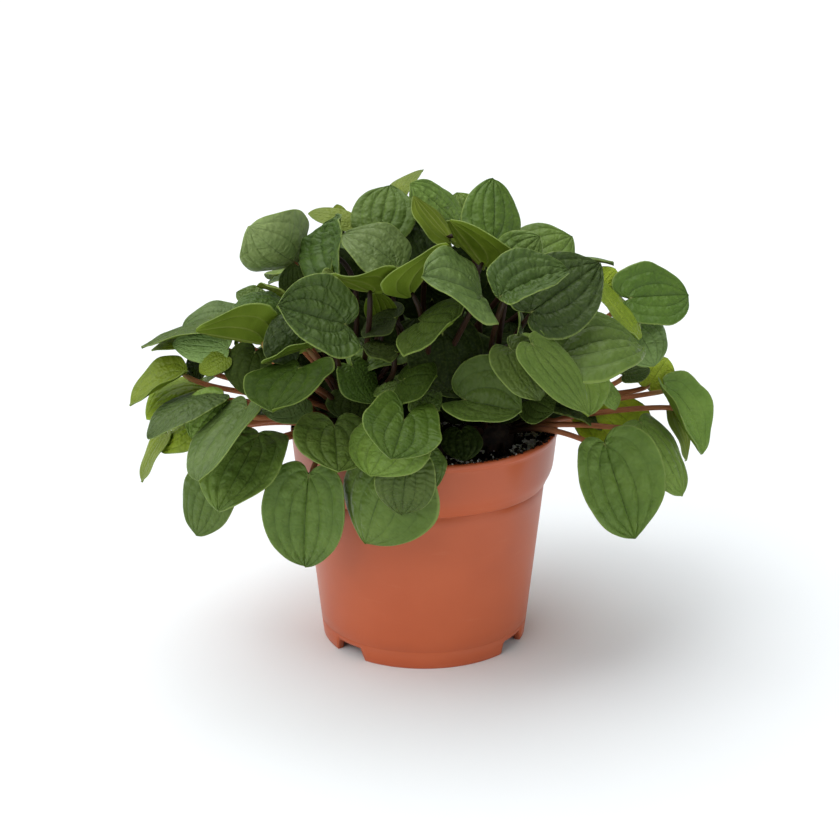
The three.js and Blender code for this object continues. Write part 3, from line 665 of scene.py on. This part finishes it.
def ring_leaves(rings, tints):
    leaves = []
    for prefix, number, count, first, last, radius, height, length, width, slope in rings:
        for i in range(count):
            heading = math.radians(first + (last - first) * i / (count - 1))
            out = Vector((math.cos(heading), math.sin(heading), 0))
            base = out * radius + UP * height
            tip = base + (out + UP * slope).normalized() * length
            tint = tints[len(leaves) % len(tints)]
            name = f"{prefix}_{number + i}"
            leaves.append(Leaf(name, "back", base, tip, width, out * 0.5 + UP, PLAIN, tint))
    return leaves


def half_outline(leaf):
    """Half of the heart-shaped outline, from the petiole round the lobe to the tip."""
    lobe, half_width = leaf.lobe * leaf.width, leaf.width / 2
    widest = leaf.wide * leaf.length
    rest = leaf.length - widest
    middle = 0.3 + 0.5 * leaf.lobe
    return [
        (0.0, 0.0),
        (0.38 * middle * half_width, -0.7 * lobe),
        (middle * half_width, -lobe),
        ((0.53 + 0.42 * middle) * half_width, -0.6 * lobe),
        ((0.8 + 0.2 * middle) * half_width, 0.12 * widest),
        (0.965 * half_width, 0.55 * widest),
        (half_width, widest),
        (0.94 * half_width, widest + 0.26 * rest),
        (0.79 * half_width, widest + 0.51 * rest),
        (0.54 * half_width, widest + 0.74 * rest),
        (0.27 * half_width, widest + 0.905 * rest),
        (0.0, leaf.length),
    ]


def blade_columns():
    """Shares of the way to the margin, with a close set of columns at each vein."""
    columns = [0.97, 1.0]
    for vein, after in zip(VEINS, [*VEINS[1:], 1.0]):
        gap = after - vein
        columns += [vein - VEIN_HALF_WIDTH, vein, vein + VEIN_HALF_WIDTH]
        columns += [vein + gap * t for t in (0.25, 0.5, 0.75)]
    half = sorted(set(round(c, 4) for c in columns if c >= 0))
    return np.array([-c for c in reversed(half) if c > 0] + half)


def catmull_rom(points, t):
    """Points on a smooth curve through the given ones, at shares t of the way."""
    points = np.asarray(points, dtype=float)
    padded = np.vstack([2 * points[0] - points[1], points, 2 * points[-1] - points[-2]])
    place = np.clip(t, 0, 1) * (len(points) - 1)
    i = np.minimum(place.astype(int), len(points) - 2)
    f = (place - i)[:, None]
    p0, p1, p2, p3 = padded[i], padded[i + 1], padded[i + 2], padded[i + 3]
    return 0.5 * (
        2 * p1 + (p2 - p0) * f + (2 * p0 - 5 * p1 + 4 * p2 - p3) * f ** 2
        + (3 * p1 - p0 - 3 * p2 + p3) * f ** 3
    )


def blade_points(leaf, seed):
    """The blade's points, top layer first, and each point's place in the leaf's own pattern."""
    along, normal = np.array(leaf.along), np.array(leaf.normal)
    across = np.array(leaf.along.cross(leaf.normal))
    half_width = leaf.width / 2
    _, quilt, wrinkle = TINTS[leaf.tint]

    # r: share of the way out to either margin. s: share of the way to the tip. x, y: in the blade.
    r = blade_columns()[None, :]
    s = (0.5 - 0.5 * np.cos(np.pi * np.linspace(0, 1, BLADE_ROWS + 1))[1:-1])[:, None]
    edge = catmull_rom(half_outline(leaf), s[:, 0])
    out = np.abs(r)
    x = np.sign(r) * out * edge[:, :1]
    y = (1 - out) * (s * leaf.length) + out * edge[:, 1:]

    # The bow, cup and fold of the whole blade and the waves of its margin.
    run = y / leaf.length
    side = np.abs(x) / half_width
    height = leaf.arch * leaf.length * 4 * run * (1 - run)
    height = height + leaf.cup * side ** 2 * half_width + leaf.fold * np.abs(x)
    draw = random.Random(seed)
    wave_turn = draw.uniform(0, 6.28)
    waves = draw.uniform(2.0, 3.2)
    ripple = np.sin(waves * 2 * np.pi * s + wave_turn + 1.7 * (r > 0))
    height = height + MARGIN_WAVE * leaf.width * out ** 3 * ripple

    # The main veins and the swollen fields between them.
    vein = np.zeros_like(out)
    swell = np.zeros_like(out)
    for i, (v, after) in enumerate(zip(VEINS, [*VEINS[1:], SWELL_END])):
        vein = np.maximum(vein, (1.0 - VEIN_FADE * i) * (np.abs(out - v) < 0.001))
        inside = (out > v) & (out < after)
        swell = swell + inside * np.sin(np.pi * (out - v) / (after - v)) * (1 - 0.45 * out)
    # Cross wrinkles of uneven length: two waves along the blade that drift against each other.
    turn = 2 * np.pi * (WRINKLES * s - WRINKLE_LEAN * out) + 2.0 * np.sign(r)
    first = np.sin(turn + 0.9 * np.sin(5 * out + seed))
    second = np.sin(0.57 * turn + 4.0 * out + 1.3 * seed)
    pillow = 1 + wrinkle * (0.65 * first + 0.6 * second)
    ends = np.sin(np.pi * s) ** 0.5
    height = height + quilt * leaf.quilt * leaf.width * swell * ends * pillow
    height = height - VEIN_DEPTH * vein * ends

    top = np.array(leaf.base) + x[..., None] * across + y[..., None] * along + height[..., None] * normal
    thick = BLADE_THICKNESS * (1 - MARGIN_THINNING * out ** 3) + VEIN_RIDGE * vein * (1 - s)
    under = top - thick[..., None] * normal
    pattern = np.stack([np.broadcast_to(part, x.shape) for part in (r, s, vein)], -1).reshape(-1, 3)
    layer = 3.7 * seed
    flat = np.stack([x * 100, y * 100, np.full_like(x, layer)], -1).reshape(-1, 3)

    points, patterns, flats = [], [], []
    for place, base_drop, tip_drop in ((top, 0, 0), (under, BLADE_THICKNESS, BLADE_THICKNESS / 2)):
        base, tip = np.array(leaf.base) - base_drop * normal, np.array(leaf.tip) - tip_drop * normal
        points += [base, *place.reshape(-1, 3), tip]
        patterns += [(0, 0, 1), *pattern, (0, 1, 1)]
        flats += [(0, 0, layer), *flat, (0, leaf.length * 100, layer)]
    return points, patterns, flats, x.shape


def blade_faces(rows, columns):
    """Faces of the closed blade, with 0 for the upper side and 1 for the under side."""
    layer = rows * columns + 2
    faces, kinds = [], []

    def vertex(side, i, j):
        return side * layer + 1 + i * columns + j

    for side in (0, 1):
        first, last = side * layer, side * layer + layer - 1
        patch = []
        for j in range(columns - 1):
            patch.append((first, vertex(side, 0, j + 1), vertex(side, 0, j)))
            patch.append((last, vertex(side, rows - 1, j), vertex(side, rows - 1, j + 1)))
            for i in range(rows - 1):
                patch.append((
                    vertex(side, i, j), vertex(side, i, j + 1),
                    vertex(side, i + 1, j + 1), vertex(side, i + 1, j),
                ))
        faces += [tuple(reversed(f)) for f in patch] if side else patch
        kinds += [side] * len(patch)

    def border(side):
        left = [vertex(side, i, 0) for i in range(rows)]
        right = [vertex(side, i, columns - 1) for i in reversed(range(rows))]
        return [side * layer, *left, side * layer + layer - 1, *right]

    upper, lower = border(0), border(1)
    for k in range(len(upper)):
        after = (k + 1) % len(upper)
        faces.append((upper[k], upper[after], lower[after], lower[k]))
        kinds.append(0)
    return faces, kinds


def bezier(p0, p1, p2, p3, t):
    return p0 * (1 - t) ** 3 + p1 * 3 * t * (1 - t) ** 2 + p2 * 3 * t * t * (1 - t) + p3 * t ** 3


def petiole_points(leaf):
    """A tapered tube from inside the crown to the base of the blade."""
    heart = Vector((*CROWNS[leaf.crown], CROWN_MIDDLE))
    rise = 4 * leaf.arch * PETIOLE_UNDER * (1 - PETIOLE_UNDER) * leaf.length - BLADE_THICKNESS / 2
    end = leaf.base + leaf.along * (PETIOLE_UNDER * leaf.length) + leaf.normal * rise
    reach = (end - heart).length
    out = ((end - heart).normalized() + UP * leaf.lift).normalized()
    out.z = max(out.z, PETIOLE_LEAST_RISE)
    out.normalize()
    start = heart + out * (CROWN_RADIUS + PETIOLE_GAP)
    arrival = (leaf.along * leaf.arrival[0] + leaf.normal * leaf.arrival[1]).normalized()
    handles = (
        start,
        start + out * (PETIOLE_CURVE[0] * reach),
        end - arrival * (PETIOLE_CURVE[1] * reach),
        end,
    )
    # The first two rings lie inside the crown.
    centres = [start + out * (0.003 * i) for i in (-2, -1)]
    shares = [i / (PETIOLE_ROWS - 1) for i in range(PETIOLE_ROWS)]
    centres += [bezier(*handles, t) for t in shares]

    points, pattern, flat = [], [], []
    side_way = out.cross(UP if abs(out.z) < 0.95 else Vector((1, 0, 0))).normalized()
    tangent = out
    for i, (centre, t) in enumerate(zip(centres, [0, 0, *shares])):
        if i:
            tangent = (centre - centres[i - 1]).normalized()
        side_way = (side_way - tangent * side_way.dot(tangent)).normalized()
        up_way = tangent.cross(side_way)
        radius = PETIOLE_RADIUS * (1.18 - 0.22 * t)
        if t > PETIOLE_NECK:
            radius *= 1 - 0.35 * (t - PETIOLE_NECK) / (1 - PETIOLE_NECK)
        for cosine, sine, _ in circle(1, 0, PETIOLE_SIDES):
            points.append(centre + (side_way * cosine + up_way * sine) * radius)
            pattern.append((sine, t, 0))
            flat.append((cosine, t * reach * 100, 0))
    return points, pattern, flat


def add_vector_attribute(obj, name, values):
    layer = obj.data.attributes.new(name, "FLOAT_VECTOR", "POINT")
    layer.data.foreach_set("vector", np.asarray(values, dtype=np.float32).ravel())


def make_leaf(leaf, seed, node=None):
    points, pattern, flat, shape = blade_points(leaf, seed)
    faces, kinds = blade_faces(*shape)
    petiole_faces = tube_faces(PETIOLE_ROWS + 2, PETIOLE_SIDES, start=len(points))
    more_points, more_pattern, more_flat = petiole_points(leaf)
    # Leaves that hardly any light reaches gleam less.
    upper = LEAF_INNER if leaf.light < 0.55 or leaf.tint == "shade" else LEAF_TOP
    obj = new_object(
        f"{node}_fine" if node else leaf.name,
        points + more_points,
        faces + petiole_faces,
        [upper, LEAF_UNDER, PETIOLE],
        kinds + [2] * len(petiole_faces),
    )
    add_vector_attribute(obj, "leaf_rs", pattern + more_pattern)
    add_vector_attribute(obj, "leaf_xy", flat + more_flat)
    draw = random.Random(seed + 100)
    light = leaf.light * draw.uniform(0.94, 1.06)
    tint = [c * light * draw.uniform(0.96, 1.04) for c in TINTS[leaf.tint][0]]
    layer = obj.data.color_attributes.new("tint", "FLOAT_COLOR", "POINT")
    layer.data.foreach_set("color", np.tile(np.float32([*tint, 1.0]), len(obj.data.vertices)))
    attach(obj, ROOT)
    if node:
        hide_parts(node)


# ------------ pot

TAPER = (CREASE_RADIUS - 0.0005 - FOOT_RADIUS) / CREASE_HEIGHT
COLLAR = [
    (0.0557, 0.0762), (0.0565, 0.0776), (0.0573, 0.0793), (0.0580, 0.0815),
    (0.0584, 0.0840), (0.0587, 0.0870), (0.0591, 0.0908), (0.0594, 0.0945),
]
POT_OUTSIDE = [
    (FOOT_RADIUS - 0.0004, 0.0),
    (FOOT_RADIUS, 0.0006),
    (FOOT_RADIUS + TAPER * 0.0078, 0.0078),
    (FOOT_RADIUS + TAPER * 0.0081 - 0.0003, 0.0081),
    (FOOT_RADIUS + TAPER * 0.0085, 0.0085),
    (CREASE_RADIUS - 0.0005, CREASE_HEIGHT - 0.0006),
    (CREASE_RADIUS - 0.0009, CREASE_HEIGHT - 0.0002),
    (CREASE_RADIUS - 0.0002, CREASE_HEIGHT + 0.0001),
    (CREASE_RADIUS + 0.0002, CREASE_HEIGHT + 0.0006),
    *COLLAR,
    (0.0594, POT_HEIGHT - 0.0030),
    (0.0596, POT_HEIGHT - 0.0027),
    (RIM_RADIUS, POT_HEIGHT - 0.0022),
    (RIM_RADIUS, POT_HEIGHT - 0.0008),
    (RIM_RADIUS - 0.0003, POT_HEIGHT - 0.0002),
    (RIM_RADIUS - 0.0008, POT_HEIGHT),
]


def filled(profile):
    """The profile with more points on its long runs, so that its shading stays even."""
    fine = [profile[0]]
    for (r0, z0), (r1, z1) in zip(profile, profile[1:]):
        count = max(1, int(math.hypot(r1 - r0, z1 - z0) / LONGEST_RUN))
        fine += [(r0 + (r1 - r0) * k / count, z0 + (z1 - z0) * k / count) for k in range(1, count + 1)]
    return fine


def pot_profile():
    """From the middle of the floor's under side round the foot and the rim to its upper side."""
    return [
        (0.0, FLOOR_UNDER),
        (FOOT_INSIDE - 0.0012, FLOOR_UNDER),
        (FOOT_INSIDE, FLOOR_UNDER - 0.0012),
        (FOOT_INSIDE, 0.0005),
        (FOOT_INSIDE + 0.0005, 0.0),
        *filled(POT_OUTSIDE),
        (RIM_RADIUS - 0.0016, POT_HEIGHT + 0.0001),
        (RIM_RADIUS - 0.0024, POT_HEIGHT - 0.0006),
        (RIM_RADIUS - WALL - 0.0011, POT_HEIGHT - 0.0024),
        *[(r - WALL, z) for r, z in reversed(COLLAR)],
        (CREASE_RADIUS - 0.0006 - WALL, CREASE_HEIGHT - 0.001),
        (FOOT_RADIUS + TAPER * FLOOR_TOP - WALL, FLOOR_TOP),
        (0.0, FLOOR_TOP),
    ]


def notch_share(turn):
    """1 inside a notch of the foot ring and 0 outside, with rounded ends."""
    best = 0.0
    for centre in NOTCH_HEADINGS:
        away = abs((turn - centre + math.pi) % (2 * math.pi) - math.pi)
        share = min(1.0, max(0.0, (NOTCH_HALF_ANGLE - away) / NOTCH_END))
        best = max(best, share * share * (3 - 2 * share))
    return best


def make_pot():
    profile = pot_profile()[1:-1]
    lifts = [
        notch_share(2 * math.pi * k / POT_COLUMNS) * NOTCH_HEIGHT for k in range(POT_COLUMNS)
    ]
    points = []
    for radius, z in profile:
        in_foot = radius > FOOT_INSIDE - 0.0001 and z < FOOT_RING_TOP
        for (x, y, _), lift in zip(circle(radius, z, POT_COLUMNS), lifts):
            points.append((x, y, max(z, lift + z * 0.2) if in_foot and lift > 0 else z))
    pot = new_object("pot_fine", points, tube_faces(len(profile), POT_COLUMNS), [pot_material()])
    cut_drain_holes(pot)
    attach(pot, ROOT)
    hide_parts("pot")


def cut_drain_holes(pot):
    points, faces = [], []
    for i in range(DRAIN_COUNT):
        turn = (i + 0.5) * 2 * math.pi / DRAIN_COUNT
        x, y = DRAIN_RING_RADIUS * math.cos(turn), DRAIN_RING_RADIUS * math.sin(turn)
        faces += tube_faces(2, DRAIN_SIDES, start=len(points))
        for z in (FLOOR_UNDER - CUTTER_OVER, FLOOR_TOP + CUTTER_OVER):
            points += circle(DRAIN_RADIUS, z, DRAIN_SIDES, x, y)
    cutter = new_object("drain_cutter", points, faces, [])
    modifier = pot.modifiers.new("drain_holes", "BOOLEAN")
    modifier.operation = "DIFFERENCE"
    modifier.object = cutter
    graph = bpy.context.evaluated_depsgraph_get()
    cut = bpy.data.meshes.new_from_object(pot.evaluated_get(graph))
    pot.modifiers.clear()
    pot.data = cut
    bpy.data.objects.remove(cutter)


# ------------ soil and crowns

# The soil's outside under its top, down along the pot's wall.
SOIL_SIDE = [(0.0561, 0.0845), (0.0545, 0.0776), (0.0518, 0.073), (0.0452, 0.0104)]


def soil_height(x, y):
    heap = HEAP_HEIGHT * max(0.0, 1 - math.hypot(x, y) / HEAP_RADIUS)
    rough = sum(
        noise.noise(Vector((x, y, i)) * fineness) * height
        for i, (fineness, height) in enumerate(SOIL_NOISES)
    )
    return SOIL_TOP + heap + rough


def make_soil():
    points = []
    for i in range(1, SOIL_RINGS + 1):
        drop = SOIL_EDGE_DROP if i == SOIL_RINGS else 0
        for x, y, _ in circle(SOIL_RADIUS * i / SOIL_RINGS, 0, SOIL_COLUMNS):
            points.append((x, y, soil_height(x, y) - drop))
    for radius, z in SOIL_SIDE:
        points += circle(radius, z, SOIL_COLUMNS)
    faces = tube_faces(SOIL_RINGS + len(SOIL_SIDE), SOIL_COLUMNS, flip=True)
    soil = new_object("soil_fine", points, faces, [soil_material()])
    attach(soil, ROOT)
    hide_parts("potting_soil")


def icosahedron():
    """Its corners and its faces, which all look out."""
    golden = (1 + 5 ** 0.5) / 2
    corners = []
    for a in (-1, 1):
        for b in (-golden, golden):
            corners += [(0, a, b), (a, b, 0), (b, 0, a)]
    faces = []
    for i, j, k in itertools.combinations(range(12), 3):
        a, b, c = [Vector(corners[n]) for n in (i, j, k)]
        if max((a - b).length, (b - c).length, (a - c).length) < 2.01:
            faces.append((i, j, k) if a.cross(b).dot(c) > 0 else (i, k, j))
    return corners, faces


CORNERS, SIDES = icosahedron()
ICOSAHEDRON_RADIUS = 1.9


def scatter(name, count, seed, sizes, material, band=None, heights=None, clumps=None):
    """Grains, each a squashed, shaken icosahedron, all over the soil. band: only between two
    radii. heights: between these instead of on the soil. clumps: only where a slow noise lies
    above this."""
    draw = random.Random(seed)
    points, faces = [], []
    for _ in range(count):
        radius = draw.uniform(*band) if band else GRAINS_RADIUS * math.sqrt(draw.uniform(0, 1))
        turn = draw.uniform(0, 2 * math.pi)
        x, y = radius * math.cos(turn), radius * math.sin(turn)
        if clumps is not None and noise.noise(Vector((x, y, 0.01)) * 95) < clumps:
            continue
        size = draw.uniform(*sizes)
        z = draw.uniform(*heights) if heights else soil_height(x, y)
        centre = Vector((x, y, z + size * 0.3))
        stretch = [draw.uniform(*GRAIN_STRETCH) for _ in range(3)]
        faces += [tuple(len(points) + i for i in side) for side in SIDES]
        for corner in CORNERS:
            grow = size / ICOSAHEDRON_RADIUS * draw.uniform(*GRAIN_SHAKE)
            points.append(centre + Vector([c * s * grow for c, s in zip(corner, stretch)]))
    obj = new_object(name, points, faces, [material], smooth=False)
    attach(obj, ROOT)


def make_crowns():
    for side, (cx, cy) in CROWNS.items():
        middle = Vector((cx, cy, CROWN_MIDDLE))
        points = []
        for i in range(CROWN_ROWS):
            turn_up = -math.pi / 6 + (math.pi / 2 + math.pi / 6) * i / CROWN_ROWS
            for way in circle(math.cos(turn_up), math.sin(turn_up), CROWN_COLUMNS):
                way = Vector(way)
                bumps = noise.noise(way * 3.4 + Vector((cx * 900, cy * 900, 0)))
                points.append(middle + way * (CROWN_RADIUS * (0.93 + 0.07 * bumps)))
        points.append((cx, cy, CROWN_MIDDLE + CROWN_RADIUS * 0.95))
        top = len(points) - 1
        faces = band_faces(CROWN_ROWS, CROWN_COLUMNS)
        last = (CROWN_ROWS - 1) * CROWN_COLUMNS
        faces += [(last + k, last + (k + 1) % CROWN_COLUMNS, top) for k in range(CROWN_COLUMNS)]
        faces.append(tuple(reversed(range(CROWN_COLUMNS))))
        crown = new_object(f"crown_{side}_fine", points, faces, [CROWN])
        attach(crown, ROOT)
        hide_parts(f"crown_{side}")


# ------------ floor and light

FLOOR_HALF = 12.0
FLOOR_COLOUR = (0.92, 0.945, 0.955, 1)
WORLD_COLOUR = (0.94, 1, 1.05, 1)
WORLD_STRENGTH = 0.28
# Wide soft lights: high up behind the left, from the left front and, faint, from the right
# front. Name, angle, energy, the way to it.
LIGHTS = [
    ("soft_overhead", 70, 2.0, (-0.262, 0.220, 0.940)),
    ("soft_left_front", 60, 1.45, (-0.569, -0.478, 0.669)),
    ("faint_right_front", 60, 0.45, (0.814, -0.470, 0.342)),
]


def make_stage():
    nodes = Nodes("floor_white")
    nodes.set(Base_Color=FLOOR_COLOUR, Roughness=0.8, Specular_IOR_Level=0.1)
    corners = [(x * FLOOR_HALF, y * FLOOR_HALF, 0) for x, y in ((-1, -1), (1, -1), (1, 1), (-1, 1))]
    floor = new_object("studio_floor", corners, [(0, 1, 2, 3)], [nodes.material], smooth=False)

    world = bpy.data.worlds.new("studio")
    world.use_nodes = True
    background = world.node_tree.nodes["Background"]
    background.inputs["Color"].default_value = WORLD_COLOUR
    background.inputs["Strength"].default_value = WORLD_STRENGTH
    bpy.context.scene.world = world
    bpy.context.scene.view_settings.view_transform = "Standard"
    for name, angle, energy, towards in LIGHTS:
        data = bpy.data.lights.new(name, "SUN")
        data.angle = math.radians(angle)
        data.energy = energy
        light = bpy.data.objects.new(name, data)
        light.rotation_euler = Vector(towards).to_track_quat("Z", "Y").to_euler()
        bpy.context.scene.collection.objects.link(light)


# ------------ the plant

WALL_BAND, WALL_HEIGHTS = (0.0561, 0.0570), (POT_HEIGHT - 0.0065, POT_HEIGHT - 0.0021)
RIM_BAND, RIM_HEIGHTS = (0.0575, 0.0591), (POT_HEIGHT - 0.0003, POT_HEIGHT + 0.0001)

make_camera()
make_stage()
make_pot()
make_soil()
scatter("soil_crumbs", 420, 11, (0.0008, 0.0026), CRUMB)
scatter("soil_crumbs_at_rim", 160, 12, (0.0006, 0.0018), CRUMB, band=(0.052, 0.0566))
scatter("soil_crumbs_on_wall", 700, 17, (0.0003, 0.0008), CRUMB, band=WALL_BAND, heights=WALL_HEIGHTS)
scatter("soil_crumbs_on_rim", 420, 14, (0.0003, 0.0009), CRUMB, band=RIM_BAND, heights=RIM_HEIGHTS)
scatter("perlite_grains", 1900, 13, (0.0004, 0.0014), PERLITE, clumps=0.0)
scatter("perlite_at_rim", 2600, 15, (0.0004, 0.0013), PERLITE, band=(0.0465, 0.0566), clumps=-0.08)
scatter("perlite_on_rim", 40, 16, (0.0003, 0.0007), PERLITE, band=RIM_BAND, heights=RIM_HEIGHTS)
make_crowns()
for seed, leaf in enumerate(LEAVES + ring_leaves(BACK_RINGS, BACK_TINTS)):
    make_leaf(leaf, seed, node=leaf.name)
for seed, leaf in enumerate(EXTRA_LEAVES + ring_leaves(FILL_RINGS, FILL_TINTS), start=200):
    make_leaf(leaf, seed)
